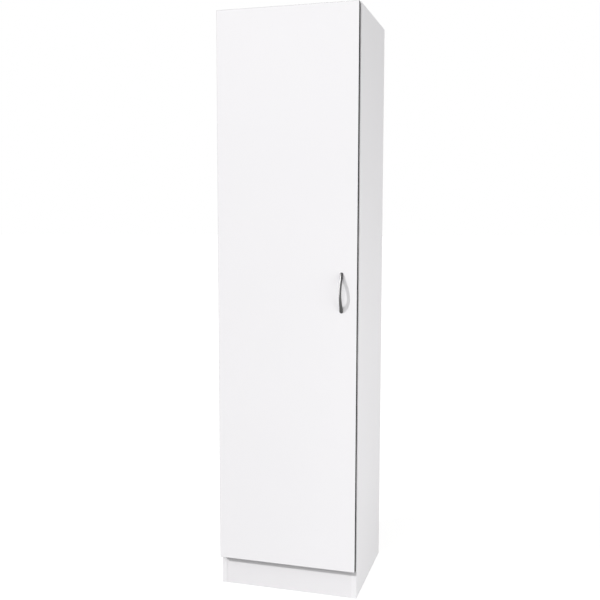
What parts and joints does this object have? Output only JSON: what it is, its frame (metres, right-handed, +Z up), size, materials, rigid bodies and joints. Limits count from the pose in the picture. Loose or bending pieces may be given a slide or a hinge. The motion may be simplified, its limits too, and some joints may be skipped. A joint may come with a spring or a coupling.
{
  "type": "broom cupboard",
  "caption": "Tall narrow floor-standing cupboard with one full-height overlay door on concealed hinges, a vertical bow handle, two shelves and a kick board under the door.",
  "frame": {"origin": "on the floor, under the middle of the whole cupboard's bounding box, handle included", "axes": "+X to the right when facing the door, +Y from the front to the back, +Z up; the door faces -Y"},
  "size_m": [0.45, 0.4205, 1.83],
  "materials": {
    "white_board": "white melamine-faced chipboard, semi-matte",
    "charcoal_edge": "dark charcoal edge banding",
    "hardboard": "white-lacquered hardboard, brown at the rear",
    "white_plastic": "moulded white plastic",
    "clear_plastic": "translucent soft buffer",
    "beech_dowel": "bare beech",
    "zinc": "die-cast zinc, nickel plated",
    "bright_steel": "nickel-plated steel",
    "magnet": "dark ferrite with steel pole faces",
    "satin_chrome": "dark satin nickel"
  },
  "bodies": {
    "carcass": {"arm_screws": "bright_steel", "back_joiner": "white_plastic", "back_panel_lower": "hardboard", "back_panel_upper": "hardboard", "bottom_panel": "white_board", "cam_bolts": "bright_steel", "cam_locks": "zinc", "catch_body": "white_plastic", "catch_magnet": "magnet", "catch_screws": "bright_steel", "fixed_shelf": "white_board", "hinge_arms": "bright_steel", "hinge_plates": "zinc", "kick_board": "white_board", "loose_shelf": "white_board", "plate_screws": "bright_steel", "plinth_rear_rail": "white_board", "shelf_pins": "bright_steel", "side_panel_left": "white_board", "side_panel_right": "white_board", "top_panel": "white_board", "wall_rail": "white_board", "wood_dowels": "beech_dowel"},
    "door": {"cup_screws": "bright_steel", "door_band_bottom": "charcoal_edge", "door_band_handle_side": "charcoal_edge", "door_band_hinge_side": "charcoal_edge", "door_band_top": "charcoal_edge", "door_buffers": "clear_plastic", "door_handle": "satin_chrome", "door_panel": "white_board", "handle_screws": "bright_steel", "hinge_cups": "bright_steel", "hinge_pins": "bright_steel", "strike_plate": "bright_steel"}
  },
  "joints": [
    {"name": "door_hinge", "type": "hinge", "parent": "carcass", "child": "door", "pos_m": [-0.2163, -0.18305, 0.961], "axis": [0, 0, -1], "range_deg": [0, 100]}
  ]
}
